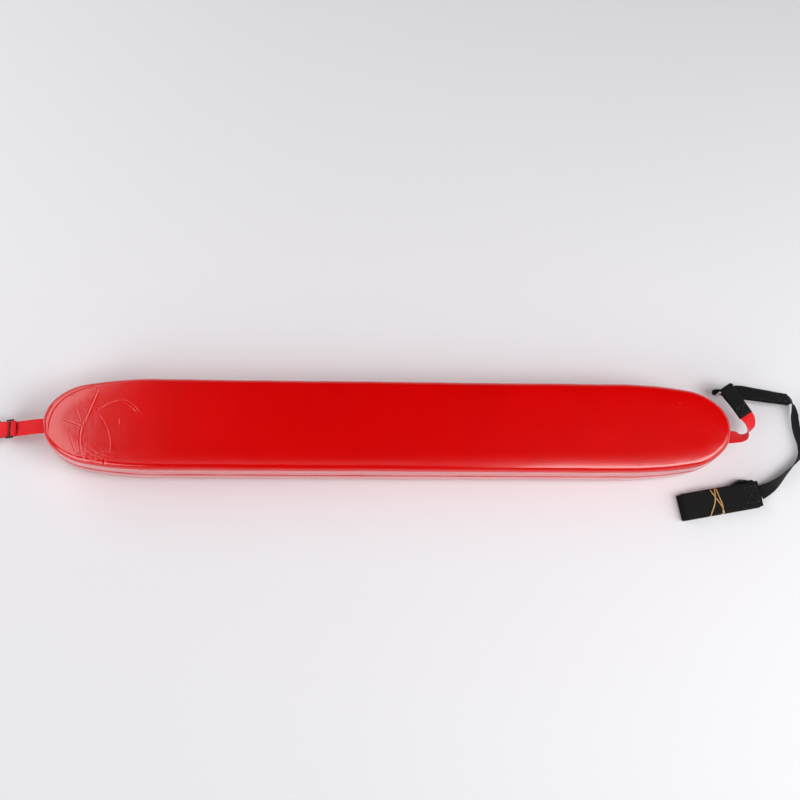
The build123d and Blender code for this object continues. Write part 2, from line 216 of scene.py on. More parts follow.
def sewn_rows(track, rows, lift, pitch=3.0, share=0.78):
    """Stitch places along straight rows on a track: each row is (along, across) to (along, across)."""
    places = []
    for (a0, c0), (a1, c1) in rows:
        length = np.hypot(a1 - a0, c1 - c0)
        count = max(1, int(round(length / pitch)))
        for i in range(count):
            ends = []
            for t in ((i + 0.5 - share / 2) / count, (i + 0.5 + share / 2) / count):
                ends.append(track.at(a0 + (a1 - a0) * t, c0 + (c1 - c0) * t, lift))
            middle = a0 + (a1 - a0) * (i + 0.5) / count
            out = np.array([np.interp(middle, track.along, track.out[:, k]) for k in range(3)])
            places.append((*ends, out * np.sign(lift)))
    return places


def box_rows(along, across, half_along, half_across):
    corners = [(along - half_along, across - half_across), (along + half_along, across - half_across),
               (along + half_along, across + half_across), (along - half_along, across + half_across)]
    sides = [(corners[i], corners[(i + 1) % 4]) for i in range(4)]
    return sides + [(corners[0], corners[2]), (corners[1], corners[3])]


# ---------------------------------------------------------------- materials
class Nodes:
    """Short names for making and joining shader nodes."""

    def __init__(self, name):
        self.material = bpy.data.materials.new(name)
        self.material.use_nodes = True
        self.tree = self.material.node_tree
        self.shader = self.tree.nodes["Principled BSDF"]

    def set(self, **values):
        for name, value in values.items():
            self.shader.inputs[name.replace("_", " ")].default_value = value

    def join(self, source, target):
        self.tree.links.new(source, target)

    def new(self, kind, settings=(), **inputs):
        node = self.tree.nodes.new(kind)
        for key, value in dict(settings).items():
            setattr(node, key, value)
        for name, value in inputs.items():
            socket = node.inputs[name.replace("_", " ")]
            if isinstance(value, bpy.types.NodeSocket):
                self.join(value, socket)
            else:
                socket.default_value = value
        return node

    def math(self, operation, a, b=0.0, clamp=False):
        node = self.tree.nodes.new("ShaderNodeMath")
        node.operation = operation
        node.use_clamp = clamp
        for socket, value in zip(node.inputs, (a, b)):
            if isinstance(value, bpy.types.NodeSocket):
                self.join(value, socket)
            else:
                socket.default_value = value
        return node.outputs[0]

    def place(self):
        """The point in the object's own space, in metres."""
        return self.tree.nodes.new("ShaderNodeTexCoord").outputs["Object"]

    def noise(self, scale, detail=3.0, roughness=0.5, vector=None):
        return self.new("ShaderNodeTexNoise", Vector=vector or self.place(), Scale=scale,
                        Detail=detail, Roughness=roughness).outputs["Fac"]

    def ramp(self, value, stops):
        node = self.tree.nodes.new("ShaderNodeValToRGB")
        self.join(value, node.inputs["Fac"])
        ends = node.color_ramp.elements
        for _ in range(len(stops) - 2):
            ends.new(0.5)
        for element, (place, colour) in zip(ends, stops):
            element.position = place
            element.color = (*colour, 1.0)
        return node.outputs["Color"]

    def range(self, value, low, high):
        return self.new("ShaderNodeMapRange", Value=value, To_Min=low, To_Max=high).outputs["Result"]

    def bump(self, height, distance, strength=1.0, normal=None):
        node = self.new("ShaderNodeBump", Height=height, Distance=distance, Strength=strength)
        if normal is not None:
            self.join(normal, node.inputs["Normal"])
        return node.outputs["Normal"]


def vinyl_material(name, colour, dark):
    """Glossy coated fabric: fine leather-like grain over a slow ripple, with faint clouding."""
    n = Nodes(name)
    n.set(Specular_IOR_Level=0.5, IOR=1.5, Coat_Weight=0.8, Coat_Roughness=0.14, Coat_IOR=1.5)
    cloud = n.noise(9.0, 4.0)
    n.join(n.ramp(cloud, [(0.30, dark), (0.72, colour)]), n.shader.inputs["Base Color"])
    smear = n.noise(38.0, 5.0, 0.62)
    n.join(n.range(smear, 0.15, 0.22), n.shader.inputs["Roughness"])
    grain = n.new("ShaderNodeTexVoronoi", Vector=n.place(), Scale=1100.0).outputs["Distance"]
    ripple = n.noise(240.0, 5.0, 0.6)
    slow = n.bump(ripple, 0.00016, 0.35)
    n.join(n.bump(grain, 0.00005, 0.25, slow), n.shader.inputs["Normal"])
    return n.material


def weave_height(n, yarn_mm, pick_mm):
    """Height of a close weave: yarns along the tape, each crossed by picks in turn."""
    cloth = n.new("ShaderNodeUVMap", settings={"uv_map": "cloth"}).outputs["UV"]
    split = n.new("ShaderNodeSeparateXYZ", Vector=cloth)
    across = n.math("MULTIPLY", split.outputs["X"], 1 / (yarn_mm * MM))
    along = n.math("MULTIPLY", split.outputs["Y"], 1 / (pick_mm * MM))
    yarn = n.math("ABSOLUTE", n.math("SINE", n.math("MULTIPLY", across, pi)))
    turn = n.math("MULTIPLY", n.math("FLOOR", across), 0.5)
    pick = n.math("ABSOLUTE", n.math("SINE", n.math("MULTIPLY", n.math("ADD", along, turn), pi)))
    return n.math("MULTIPLY", n.math("POWER", yarn, 0.6), n.math("ADD", n.math("MULTIPLY", pick, 0.6), 0.4))


def webbing_material(name, colour, weave_hollow_shade, yarn_mm=1.25, pick_mm=2.1, sheen=0.25, roughness=(0.5, 0.72)):
    """Woven tape: yarn and pick relief, fuzzy sheen, worn, uneven dye, and painted shade, with the weave's
    hollows darker and its yarn tops lighter.
    """
    n = Nodes(name)
    n.set(Specular_IOR_Level=0.14, Sheen_Weight=sheen, Sheen_Roughness=0.45)
    n.shader.inputs["Sheen Tint"].default_value = (0.9, 0.9, 1.0, 1.0)
    height = weave_height(n, yarn_mm, pick_mm)
    fuzz = n.noise(900.0, 3.0, 0.7)
    wear = n.noise(60.0, 4.0, 0.6)
    # Painted shade and wear: the base colour follows the weave's height, darker in its hollows, mixed with
    # the uneven wear of the dye.
    weave_shade_and_wear = n.math("ADD", n.math("MULTIPLY", height, 0.62), n.math("MULTIPLY", wear, 0.5))
    n.join(n.ramp(weave_shade_and_wear, [(0.22, weave_hollow_shade), (0.85, colour)]), n.shader.inputs["Base Color"])
    n.join(n.range(wear, *roughness), n.shader.inputs["Roughness"])
    coarse = n.bump(height, 0.0004, 0.8)
    n.join(n.bump(fuzz, 0.00012, 0.4, coarse), n.shader.inputs["Normal"])
    return n.material


def metal_material(name, colour, dull, rough, metallic=1.0, scratch=0.0):
    """Metal or coated metal with fine scratches, handling marks and uneven gloss."""
    n = Nodes(name)
    n.set(Metallic=metallic, Specular_IOR_Level=0.5)
    marks = n.noise(240.0, 6.0, 0.65)
    n.join(n.ramp(marks, [(0.34, dull), (0.62, colour)]), n.shader.inputs["Base Color"])
    n.join(n.range(marks, rough + 0.14, rough - 0.04), n.shader.inputs["Roughness"])
    stretch = n.new("ShaderNodeMapping", Vector=n.place())
    stretch.inputs["Scale"].default_value = (120.0, 2600.0, 2600.0)
    lines = n.noise(1.0, 2.0, 0.5, stretch.outputs["Vector"])
    n.join(n.bump(lines, 0.00003, 0.2 + scratch), n.shader.inputs["Normal"])
    return n.material


def plastic_material(name, colour):
    """Moulded plastic: fine pebbled face and slightly uneven gloss."""
    n = Nodes(name)
    n.set(Specular_IOR_Level=0.45)
    tone = n.noise(70.0, 3.0)
    n.join(n.ramp(tone, [(0.3, [c * 0.7 for c in colour]), (0.7, colour)]), n.shader.inputs["Base Color"])
    n.join(n.range(tone, 0.30, 0.44), n.shader.inputs["Roughness"])
    n.join(n.bump(n.noise(2200.0, 2.0), 0.00003, 0.5), n.shader.inputs["Normal"])
    return n.material


def foam_material(name):
    """Closed-cell foam: small cells with painted shade in their pits, and a chalky surface."""
    n = Nodes(name)
    n.set(Roughness=0.9)
    cell_pits_and_shade = n.new("ShaderNodeTexVoronoi", Vector=n.place(), Scale=700.0).outputs["Distance"]
    # Painted shade: the colour follows the cells' bump height, darker in the pits.
    tint = n.ramp(cell_pits_and_shade, [(0.1, (0.70, 0.68, 0.60)), (0.6, (0.86, 0.84, 0.78))])
    n.join(tint, n.shader.inputs["Base Color"])
    n.join(n.bump(cell_pits_and_shade, 0.0003, 0.6), n.shader.inputs["Normal"])
    return n.material


def rubber_material(name):
    """Natural rubber band: amber, dusty in places, with a cut edge's fine grain."""
    n = Nodes(name)
    n.set(Subsurface_Weight=0.15, Subsurface_Scale=0.002, Specular_IOR_Level=0.4)
    dust = n.noise(300.0, 4.0, 0.6)
    tint = n.ramp(dust, [(0.35, (0.44, 0.25, 0.07)), (0.65, (0.72, 0.47, 0.17))])
    n.join(tint, n.shader.inputs["Base Color"])
    n.join(n.range(dust, 0.38, 0.6), n.shader.inputs["Roughness"])
    n.join(n.bump(n.noise(1500.0, 2.0), 0.00005, 0.5), n.shader.inputs["Normal"])
    return n.material


def thread_material(name, colour):
    n = Nodes(name)
    n.set(Sheen_Weight=0.3, Specular_IOR_Level=0.4)
    twist_relief_and_shade = n.noise(1800.0, 2.0)
    # Painted shade: the thread is darker where its bump is low, in the grooves of the twist.
    n.join(n.ramp(twist_relief_and_shade, [(0.3, [c * 0.55 for c in colour]), (0.7, colour)]), n.shader.inputs["Base Color"])
    n.join(n.range(twist_relief_and_shade, 0.5, 0.65), n.shader.inputs["Roughness"])
    n.join(n.bump(twist_relief_and_shade, 0.0002, 0.6), n.shader.inputs["Normal"])
    return n.material


RED_VINYL = vinyl_material("red_vinyl", (0.70, 0.0004, 0.0004), (0.64, 0.0002, 0.0002))
# Each webbing's second colour is the painted shade in the hollows of its weave.
RED_WEB = webbing_material("red_webbing", (0.95, 0.016, 0.020), (0.74, 0.002, 0.003), sheen=0.35)
BLACK_WEB = webbing_material("black_webbing", (0.0080, 0.0078, 0.0084), (0.0015, 0.0015, 0.0018), sheen=0.015)
BLACK_STRAP = webbing_material("black_strap", (0.0075, 0.0073, 0.0078), (0.0015, 0.0015, 0.0016), 1.6, 2.6,
                               sheen=0.015)
BLACK_THREAD = thread_material("black_thread", (0.0065, 0.0065, 0.0070))
FOAM = foam_material("foam")
STEEL = metal_material("steel", (0.60, 0.59, 0.58), (0.42, 0.41, 0.41), 0.22, scratch=0.2)
BLACK_METAL = metal_material("black_metal", (0.030, 0.030, 0.032), (0.014, 0.014, 0.016), 0.34, 0.0)
BLACK_PLASTIC = plastic_material("black_plastic", (0.020, 0.020, 0.022))
RUBBER = rubber_material("tan_rubber")


def finish_piece(obj, body, slot_name, *nodes):
    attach(obj, body)
    if nodes:
        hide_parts(*nodes)
    return obj


# ---------------------------------------------------------------- the tow line
TOW_ROUTE = [
    (0.6924, 0.06715, 0.01948), (0.701, 0.066, 0.019), (0.7045, 0.053, 0.0162),
    (0.705, 0.033, 0.0138), (0.7065, 0.012, 0.013), (0.712, -0.008, 0.013),
    (0.712, -0.028, 0.013), (0.701, -0.044, 0.0128), (0.684, -0.06, 0.0126),
    (0.666, -0.078, 0.0123), (0.649, -0.0895, 0.0115), (0.634, -0.096, 0.011),
]
TOW_ROLL = [-26, -78, -98, -99, -97, -94, -92, -86, -76, -66, -52, -36, -16]


def add_tow_line():
    """The single ply: it turns on its edge, runs down to the folded strap and lies flat into it."""
    path = smooth_line(TOW_ROUTE, 14)
    track = Track(path / MM, TOW_ROLL)
    obj = ribbons("tow_line_ply", [(track, WEB, PLY, 0.5)], BLACK_WEB)
    finish_piece(obj, "tube", "black_webbing", "tow_line")


add_tow_line()


# ---------------------------------------------------------------- the buoyant tube
TUBE_LENGTH, TUBE_WIDTH, TUBE_HEIGHT = 1132.0, 152.0, 85.0
TIP_R, TIP_ANGLE = 55.0, 45.0
SHOULDER_R, SHOULDER_ANGLE = 98.0, 80.0
EDGE_R = 10.0
CROWN_ANGLE = 5.0           # slope of the top where it meets the edge's roundover
CROWN_IN = 32.0             # how far in from the wall the top is flat
SEAM_Z = 42.5


def quarter_outline(spacing):
    """Points and outward directions from the tip to the middle of the long side."""
    def arc(centre, radius, low, high):
        count = max(3, int(radians(high - low) * radius / spacing))
        turns = np.radians(np.linspace(low, high, count, endpoint=False))
        out = np.stack([np.cos(turns), np.sin(turns)], axis=1)
        return centre + radius * out, out

    tip_centre = np.array([TUBE_LENGTH / 2 - TIP_R, 0.0])
    lean = np.array([cos(radians(TIP_ANGLE)), sin(radians(TIP_ANGLE))])
    shoulder_centre = tip_centre + (TIP_R - SHOULDER_R) * lean
    lean = np.array([cos(radians(SHOULDER_ANGLE)), sin(radians(SHOULDER_ANGLE))])
    shoulder_end = shoulder_centre + SHOULDER_R * lean
    flank_r = (TUBE_WIDTH / 2 - shoulder_end[1]) / (1 - lean[1])
    flank_centre = shoulder_end - flank_r * lean
    parts = [arc(tip_centre, TIP_R, 0, TIP_ANGLE),
             arc(shoulder_centre, SHOULDER_R, TIP_ANGLE, SHOULDER_ANGLE),
             arc(flank_centre, flank_r, SHOULDER_ANGLE, 90)]
    return np.vstack([p for p, _ in parts]), np.vstack([o for _, o in parts])


def full_outline(left_spacing, right_spacing, middle_spacing):
    """The tube seen from above, anticlockwise from the right tip."""
    right, right_out = quarter_outline(right_spacing)
    left, left_out = quarter_outline(left_spacing)
    straight = np.arange(right[-1, 0] - middle_spacing, -left[-1, 0], -middle_spacing)
    top = np.stack([straight, np.full_like(straight, TUBE_WIDTH / 2)], axis=1)
    top_out = np.tile([0.0, 1.0], (len(top), 1))
    flip_x, flip_y = np.array([-1.0, 1.0]), np.array([1.0, -1.0])
    upper = np.vstack([right, top, (left * flip_x)[::-1]])
    upper_out = np.vstack([right_out, top_out, (left_out * flip_x)[::-1]])
    lower, lower_out = (upper * flip_y)[::-1][1:-1], (upper_out * flip_y)[::-1][1:-1]
    return np.vstack([upper, lower]), np.vstack([upper_out, lower_out])


def waves(x, y, wavelength, seed, count=9):
    """A smooth random ripple of about unit height."""
    rng = np.random.default_rng(seed)
    total = np.zeros_like(x)
    for _ in range(count):
        angle, phase = rng.uniform(0, 2 * pi, 2)
        k = 2 * pi / wavelength * rng.uniform(0.6, 1.5)
        total += np.sin(k * (x * cos(angle) + y * sin(angle)) + phase)
    return total / np.sqrt(count)


# Creases of the coated fabric on the top, each a bowed line with its ends on a 5 mm grid:
# depth, half width, lean, start, end, and how far its middle stands to the left.
CREASES = [
    (0.60, 1.5, 0.5, (-480, 55), (-500, 0), 0),
    (0.60, 1.5, 0.5, (-500, 5), (-500, -55), -5),
    (0.75, 1.5, -0.8, (-485, 15), (-405, 0), 30),
    (0.35, 1.8, 0.2, (-480, 15), (-460, -60), 10),
    (0.42, 1.4, -0.4, (-535, 5), (-495, -10), 0),
    (0.22, 1.5, 0.2, (-540, 5), (-540, -35), 0),
    (0.32, 1.2, -0.3, (-530, -35), (-530, -55), 0),
    (0.30, 1.6, 0.3, (-520, -25), (-510, -50), 0),
    (0.20, 1.4, 0.0, (-450, 50), (-445, 35), 0),
    (0.26, 1.2, 0.4, (-405, -40), (-410, -55), 0),
    (0.20, 1.6, 0.0, (-515, 25), (-505, 0), 0),
    (0.22, 1.4, 0.2, (-445, 25), (-445, -30), 0),
    (0.90, 2.4, 0.0, (-465, -60), (-465, -75), 0),
    (0.70, 1.8, 0.0, (465, -65), (465, -75), 0),
    (0.45, 0.9, -0.6, (500, 30), (510, 20), 0),
    (0.35, 0.9, -0.6, (525, 15), (535, 10), 0),
    (0.22, 1.0, 0.0, (505, -55), (530, -45), 0),
    (0.18, 1.0, 0.0, (520, -55), (545, -40), 0),
]
# The skin's lap inside the left tip: part of an ellipse, from the far side round to the near side.
LAP_CENTRE, LAP_RADII, LAP_ENDS = (-480.0, -10.0), (75.0, 68.0), (95.0, 225.0)
# Small pits: x, y, half width and depth.
DIMPLES = [(480, 40, 2.0, 0.5), (490, 45, 1.8, 0.4), (475, 35, 1.9, 0.45),
           (-560, -10, 1.5, 0.5), (-520, 45, 1.4, 0.4), (455, 25, 2.4, 0.2)]
WRINKLE_SEED, WRINKLE_COUNT = 11, 34
WRINKLE_X, WRINKLE_Y = (-520, -462), (-68, -42)
LEFT_END_X, RIGHT_END_X = -395, 400     # the creased ends of the top lie beyond these
CREASE_DEPTH = 0.46
LAP_STEP, LAP_GROOVE = 0.45, 0.50


def fine_wrinkles():
    """The bunch of small wrinkles by the near edge of the left end, fanning from the kink."""
    rng = np.random.default_rng(WRINKLE_SEED)
    found = []
    for _ in range(WRINKLE_COUNT):
        x, y = rng.uniform(*WRINKLE_X), rng.uniform(*WRINKLE_Y)
        length, slope = rng.uniform(10, 30), rng.uniform(-0.42, 0.02)
        bow = rng.uniform(-1.5, 2.5)
        found.append((rng.uniform(0.5, 0.9), rng.uniform(0.8, 1.2), rng.uniform(-0.5, 0.5),
                      (x, y), (x + length, y + slope * length), bow))
    return found


def bowed_line(start, end, bow):
    """Places along a line from start to end whose middle stands to its left by bow."""
    t = np.linspace(0, 1, 33)[:, None]
    start, ahead = np.array(start, float), np.subtract(end, start).astype(float)
    left = np.array([-ahead[1], ahead[0]]) / np.hypot(*ahead)
    return start + ahead * t + left * bow * 4 * t * (1 - t)


def lap_line():
    """Places along the lap inside the left tip."""
    angle = np.radians(np.linspace(*LAP_ENDS, 65))
    return np.stack([LAP_CENTRE[0] + LAP_RADII[0] * np.cos(angle),
                     LAP_CENTRE[1] + LAP_RADII[1] * np.sin(angle)], axis=1)


def from_line(x, y, line):
    """How far each place is from a line, signed to its left, and how far along the line it lies."""
    ahead = unit(np.gradient(line, axis=0))
    dx, dy = x[:, None] - line[:, 0], y[:, None] - line[:, 1]
    near = np.argmin(dx * dx + dy * dy, axis=1)
    rows = np.arange(len(x))
    sign = np.sign(ahead[near, 0] * dy[rows, near] - ahead[near, 1] * dx[rows, near])
    return sign * np.hypot(dx[rows, near], dy[rows, near]), near / (len(line) - 1)


def relief(x, y):
    """How far the top's coated fabric stands proud of its plain shape, in millimetres."""
    height = 0.03 * waves(x, y, 150, 3) + 0.010 * waves(x, y, 38, 4)
    left = np.clip((LEFT_END_X - x) / 60, 0, 1)
    right = np.clip((x - RIGHT_END_X) / 120, 0, 1)
    height += left * (0.03 * waves(x, y, 46, 5) + 0.010 * waves(x, y, 12, 6))
    height += right * (0.05 * waves(x, y, 40, 7) + 0.008 * waves(x, y, 12, 8))
    for depth, half, lean, start, end, bow in CREASES + fine_wrinkles():
        line = bowed_line(start, end, bow)
        xs, ys = line[:, 0], line[:, 1]
        reach = 8 * half
        near = np.flatnonzero((x > min(xs) - reach) & (x < max(xs) + reach)
                              & (y > min(ys) - reach) & (y < max(ys) + reach))
        if len(near) == 0:
            continue
        gap, t = from_line(x[near], y[near], line)
        q = gap / (0.72 * half)
        shape = CREASE_DEPTH * (-np.exp(-q ** 2) + 0.3 * (1 + lean) * np.exp(-(q - 1.8) ** 2 / 2.2)
                                + 0.3 * (1 - lean) * np.exp(-(q + 1.8) ** 2 / 2.2))
        fade = np.clip(np.minimum(t, 1 - t) / 0.18, 0, 1)
        uneven = 0.60 + 0.40 * waves(x[near], y[near], 14, 12)
        height[near] += depth * shape * uneven * fade * fade * (3 - 2 * fade)
    near = np.flatnonzero(x < -470)
    gap, t = from_line(x[near], y[near], lap_line())
    fade = np.clip(np.minimum(t, 1 - t) / 0.12, 0, 1)
    step = LAP_STEP / (1 + np.exp(gap / 0.4)) * np.exp(-np.clip(-gap, 0, None) / 14)
    height[near] += fade * (step - LAP_GROOVE * np.exp(-(gap / 0.9) ** 2))
    for cx, cy, half, depth in DIMPLES:
        r = np.hypot(x - cx, y - cy) / half
        height += depth * (0.6 * np.exp(-(r - 1.2) ** 2 / 0.3) - np.exp(-r ** 2))
    return height


def fill_flat(ring, spots):
    """Triangles over a flat ring of points with extra spots inside it. The ring keeps its numbering."""
    count = len(ring)
    points = [Vector(p) for p in np.vstack([ring, spots])]
    edges = [(i, (i + 1) % count) for i in range(count)]
    _, _, faces, origin, _, _ = delaunay_2d_cdt(points, edges, [], 1, 1e-6)
    number = [o[0] for o in origin]
    return [tuple(number[i] for i in face) for face in faces]


def enclosed(spots, outline):
    """Which spots the outline goes round."""
    after = np.roll(outline, -1, axis=0)
    crossings = np.zeros(len(spots), int)
    for (x0, y0), (x1, y1) in zip(outline, after):
        if y0 == y1:
            continue
        between = (spots[:, 1] >= min(y0, y1)) & (spots[:, 1] < max(y0, y1))
        crossings += between & (spots[:, 0] < x0 + (spots[:, 1] - y0) * (x1 - x0) / (y1 - y0))
    return crossings % 2 == 1


def inside_spots(outline, margin, zones):
    """Staggered spots at least margin inside the outline; zones are (from x, to x, spacing)."""
    spots = []
    for low, high, gap in zones:
        rows = np.arange(-TUBE_WIDTH / 2, TUBE_WIDTH / 2, gap * 0.87)
        for j, y in enumerate(rows):
            xs = np.arange(low + (j % 2) * gap / 2, high, gap)
            spots.append(np.stack([xs, np.full_like(xs, y)], axis=1))
    spots = np.vstack(spots)
    depth = np.full(len(spots), 1e9)
    for start in range(0, len(outline), 60):
        block = outline[start:start + 60]
        gaps = np.hypot(spots[:, :1] - block[:, 0], spots[:, 1:] - block[:, 1])
        depth = np.minimum(depth, gaps.min(axis=1))
    return spots[(depth > margin) & enclosed(spots, outline)]


def tube_profile(fine):
    """The section from the bottom's flat, out and up the wall, over the edge and onto the flat top:
    distance in from the wall, height, and the outward and upward parts of the normal."""
    rows = []
    for turn in np.radians(np.linspace(-90, 0, 9, endpoint=False)):
        rows.append((EDGE_R * (1 - cos(turn)), EDGE_R * (1 + sin(turn)), cos(turn), sin(turn)))
    rise = 0.5 * np.tan(radians(CROWN_ANGLE))
    crown_d = EDGE_R * (1 - sin(radians(CROWN_ANGLE)))
    crown_rise = rise * (CROWN_IN - crown_d)
    centre_z = TUBE_HEIGHT - crown_rise - EDGE_R * cos(radians(CROWN_ANGLE))
    for z in np.linspace(EDGE_R, centre_z, 14, endpoint=False):
        t = (z - EDGE_R) / (centre_z - EDGE_R)
        rows.append((-0.9 * sin(pi * t) ** 2, z, 1.0, 0.0))
    for turn in np.radians(np.linspace(0, 90 - CROWN_ANGLE, 14, endpoint=False)):
        rows.append((EDGE_R * (1 - cos(turn)), centre_z + EDGE_R * sin(turn), cos(turn), sin(turn)))
    for d in np.linspace(crown_d, CROWN_IN, int((CROWN_IN - crown_d) / fine)):
        t = (CROWN_IN - d) / (CROWN_IN - crown_d)
        lean = radians(CROWN_ANGLE) * t
        rows.append((d, TUBE_HEIGHT - crown_rise * t * t, sin(lean), cos(lean)))
    return np.array(rows)


def tube_form(name, material, spacing, fine, inset, relieved):
    """The closed tube, drawn in by an equal amount all over."""
    outline, out = full_outline(*spacing)
    profile = tube_profile(fine)
    rings = len(profile)
    around = len(outline)
    verts = []
    for depth, z, level, upward in profile:
        flat = outline - out * (depth + inset * level)
        normal = np.column_stack([out * level, np.full(around, upward)])
        ring = np.column_stack([flat, np.full(around, z - inset * upward)])
        if relieved:
            slope = np.clip(upward * 1.4, 0, 1) if upward > 0 else 0.0
            lift = relief(flat[:, 0], flat[:, 1]) * slope
            lift += 0.20 * waves(flat[:, 0], flat[:, 1] + z, 90, 9) * level
            lift += 0.05 * waves(flat[:, 0], flat[:, 1] + z, 24, 10) * level
            ring += normal * lift[:, None]
        verts.append(ring)
    verts = np.vstack(verts)
    faces = []
    for i in range(rings - 1):
        here, there = i * around, (i + 1) * around
        for j in range(around):
            k = (j + 1) % around
            faces.append((here + j, here + k, there + k, there + j))
    zones_top = [(-TUBE_LENGTH / 2, LEFT_END_X, spacing[0]), (LEFT_END_X, RIGHT_END_X, 7.0),
                 (RIGHT_END_X, TUBE_LENGTH / 2, spacing[1])]
    zones_bottom = [(-TUBE_LENGTH / 2, TUBE_LENGTH / 2, 16.0)]
    for ring_index, zones, top in ((0, zones_bottom, False), (rings - 1, zones_top, True)):
        start = ring_index * around
        ring = verts[start:start + around, :2]
        margin = 0.8 * (spacing[0] if top else 6.0)
        spots = inside_spots(ring, margin, zones)
        z = (TUBE_HEIGHT - inset) if top else inset
        heights = np.full(len(spots), z)
        if top and relieved:
            heights += relief(spots[:, 0], spots[:, 1])
        base = len(verts)
        verts = np.vstack([verts, np.column_stack([spots, heights])])
        for face in fill_flat(ring, spots):
            faces.append(tuple(start + i if i < around else base + i - around for i in face))
    return make_object(name, verts * MM, faces, material)


def add_tube():
    skin = tube_form("tube_skin", RED_VINYL, (0.95, 2.2, 9.0), 0.95, 0.0, True)
    finish_piece(skin, "tube", "red_skin", "skin_lower", "skin_upper")
    core = tube_form("foam_core", FOAM, (9.0, 9.0, 20.0), 6.0, 4.0, False)
    finish_piece(core, "tube", "foam", "foam_core_lower", "foam_core_upper")


add_tube()


def ring_band(name, outline, out, section, material):
    """A band round the tube: section gives each point's distance out and height."""
    verts = [np.column_stack([outline + out * proud, np.full(len(outline), z)]) for proud, z in section]
    grid = np.stack(verts, axis=1).reshape(-1, 3)
    faces = tube_faces(len(outline), len(section), closed=True)
    return make_object(name, grid * MM, faces, material)


def add_side_seam():
    """The lap weld round the wall: a flat band with rolled edges and a pressed line along its middle."""
    outline, out = full_outline(4.0, 4.0, 12.0)
    proud = 1.55
    section = [(-0.6, 38.6), (proud - 0.45, 38.3), (proud - 0.1, 38.7), (proud, 39.4), (proud, 41.9),
               (proud - 0.55, 42.5), (proud, 43.1), (proud, 45.6), (proud - 0.1, 46.3), (proud - 0.45, 46.7),
               (-0.6, 46.4)]
    wobble = 0.25 * waves(outline[:, 0], outline[:, 1], 120, 21)
    band = ring_band("side_seam_band", outline + out * (wobble * 0.3)[:, None], out, section, RED_VINYL)
    finish_piece(band, "tube", "red_skin", "side_seam")


add_side_seam()


def add_mouth(name, side):
    """The welded lip where the webbing leaves the tube."""
    count, sides = 48, 10
    centre = side * (TUBE_LENGTH / 2 + 0.2)
    verts = []
    for i in range(count):
        turn = 2 * pi * i / count
        y = 16.5 * np.sign(cos(turn)) * abs(cos(turn)) ** 0.45
        z = 2.6 * np.sign(sin(turn)) * abs(sin(turn)) ** 0.8
        away = unit(np.array([0.0, cos(turn) * 0.35, sin(turn)]))
        depth = TIP_R - np.sqrt(TIP_R ** 2 - y * y)
        for j in range(sides):
            phase = 2 * pi * j / sides
            point = np.array([centre - side * depth, y, SEAM_Z + z])
            point = point + away * 1.1 * cos(phase) + np.array([side, 0.0, 0.0]) * 1.5 * sin(phase)
            verts.append(point)
    lip = make_object(name, np.array(verts) * MM, tube_faces(count, sides, closed=True), RED_VINYL)
    finish_piece(lip, "tube", "red_skin")


add_mouth("mouth_lip_hook_end", -1)
add_mouth("mouth_lip_tow_end", 1)


# ---------------------------------------------------------------- red webbing and the hook end
BAR_X, HOOK_END_Y, BAR_Z = -649.0, 3.5, 9.0
LOOP_SLOPE = radians(27.0)
SLOPE_AHEAD = np.array([cos(LOOP_SLOPE), 0.0, sin(LOOP_SLOPE)])
SLOPE_UP = np.array([-sin(LOOP_SLOPE), 0.0, cos(LOOP_SLOPE)])


def on_slope(along, up):
    return np.array([BAR_X, HOOK_END_Y, BAR_Z]) + SLOPE_AHEAD * along + SLOPE_UP * up


def add_hook_webbing():
    """Out of the tube, under the eye's crossbar and round it, and back over the slider."""
    points = [(-550.0, HOOK_END_Y, SEAM_Z), (-565.0, HOOK_END_Y, SEAM_Z), (-576.0, HOOK_END_Y, 42.2)]
    local = [(57, -3.4), (40, -3.5), (22, -3.5), (8, -3.5), (-3.8, -3.7), (-3.8, 3.7), (5, 3.6), (12, 3.7),
             (17.6, 4.2), (20.6, -1.4), (23.4, -1.4), (26.4, 4.1), (29.6, 4.0), (34.5, 1.6)]
    points += [tuple(on_slope(*p)) for p in local]
    track = Track(smooth_line(points), across=(0.0, 1.0, 0.0))
    obj = ribbons("hook_webbing_loop", [(track, WEB, PLY, 0.15)], RED_WEB)
    finish_piece(obj, "tube", "red_webbing", "hook_webbing")


def add_load_webbing():
    track = Track(smooth_line([(x, 0, SEAM_Z) for x in (-553.0, -200.0, 200.0, 553.0)]))
    obj = ribbons("load_webbing_run", [(track, WEB, PLY, 0.0)], RED_WEB)
    finish_piece(obj, "tube", "red_webbing", "load_webbing")


add_hook_webbing()
add_load_webbing()

CAD_MATERIALS = {
    "hook_slider": BLACK_PLASTIC, "swivel_eye": BLACK_METAL, "swivel_rivet": STEEL, "hook_body": BLACK_METAL,
    "hook_spring": STEEL, "gate_bolt": STEEL, "bolt_knob": STEEL, "d_ring": STEEL,
}
for node_name, material in CAD_MATERIALS.items():
    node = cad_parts[node_name]
    node.data.materials.clear()
    node.data.materials.append(material)

# ---------------------------------------------------------------- red curl, ring strap and tow line's eye
RED_ROUTE = [
    (557.0, -5.5, 42.5), (565.2, -5.5, 42.5), (588, -5.5, 42), (598, -6, 41), (605, -2, 41.5),
    (610.5, 7, 44.3), (612.5, 17, 47.5), (609.5, 25, 49.5), (604.5, 32, 49.5),
]
RED_ROLL = [0, -8, -18, -28, -52, -102, -142, -168, -180]
RING_START = np.array([606.2, 28.3, 49.5])
RING_ANGLE = radians(123.0)
RING_AHEAD = np.array([cos(RING_ANGLE), sin(RING_ANGLE), 0.0])
RING_ACROSS = np.array([-sin(RING_ANGLE), cos(RING_ANGLE), 0.0])
RING_BAR = np.array([574.039, 77.8235, 48.5])


def add_red_curl():
    track = Track(smooth_line(RED_ROUTE), RED_ROLL)
    obj = ribbons("ring_webbing_curl", [(track, WEB, PLY, -0.5)], RED_WEB)
    finish_piece(obj, "tube", "red_webbing", "ring_webbing_red")


